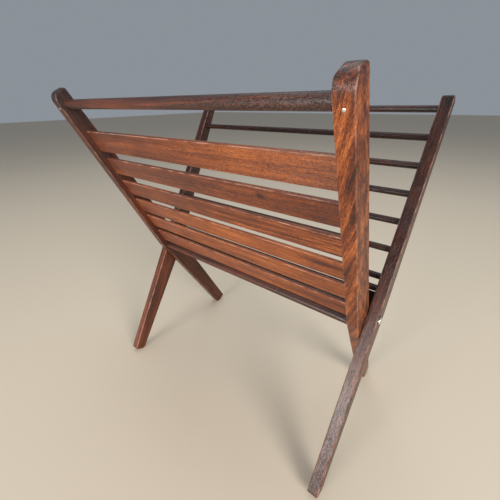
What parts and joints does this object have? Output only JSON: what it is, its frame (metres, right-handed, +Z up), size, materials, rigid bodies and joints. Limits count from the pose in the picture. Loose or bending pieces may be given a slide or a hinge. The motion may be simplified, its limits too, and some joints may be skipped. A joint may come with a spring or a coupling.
{
  "type": "magazine rack",
  "caption": "X-shaped folding rack of two crossed wooden frames, slats in front and dowels behind, turning on a pair of pivot bolts; magazines stand in the V above.",
  "frame": {"origin": "centre of the footprint on the floor, under the middle of the rack", "axes": "+X to the right along the slats and dowels, +Y to the back (dowel frame leans this way), +Z up"},
  "size_m": [0.4794, 0.3366, 0.5375],
  "materials": {
    "front_frame_wood": "stained, satin, worn at the edges",
    "back_frame_wood": "dark stained, satin",
    "bolt_steel": "polished",
    "dark_steel": "dull",
    "spacer_nylon": "matte"
  },
  "bodies": {
    "back_frame": {"back_side_bar_left": "back_frame_wood", "back_side_bar_right": "back_frame_wood", "back_dowel_1": "back_frame_wood", "back_dowel_2": "back_frame_wood", "back_dowel_3": "back_frame_wood", "back_dowel_4": "back_frame_wood", "back_dowel_5": "back_frame_wood", "back_dowel_6": "back_frame_wood", "back_dowel_7": "back_frame_wood", "back_dowel_8": "back_frame_wood", "back_low_slat": "back_frame_wood", "pivot_bolt_left": "bolt_steel", "pivot_bolt_right": "bolt_steel", "pivot_spacer_washer_left": "spacer_nylon", "pivot_spacer_washer_right": "spacer_nylon", "pivot_inner_washer_left": "dark_steel", "pivot_inner_washer_right": "dark_steel", "pivot_outer_washer_left": "dark_steel", "pivot_outer_washer_right": "dark_steel", "pivot_nut_left": "dark_steel", "pivot_nut_right": "dark_steel"},
    "front_frame": {"front_side_bar_left": "front_frame_wood", "front_side_bar_right": "front_frame_wood", "front_top_rail": "front_frame_wood", "front_bottom_rail": "front_frame_wood", "front_slat_1": "front_frame_wood", "front_slat_2": "front_frame_wood", "front_slat_3": "front_frame_wood", "front_slat_4": "front_frame_wood", "front_slat_5": "front_frame_wood", "front_slat_6": "front_frame_wood", "top_rail_nail_left": "bolt_steel", "top_rail_nail_right": "bolt_steel"}
  },
  "joints": [
    {"name": "frame_pivot", "type": "hinge", "parent": "back_frame", "child": "front_frame", "pos_m": [0, -0.00165, 0.2399], "axis": [-1, 0, 0], "range_deg": [0, 43]}
  ]
}
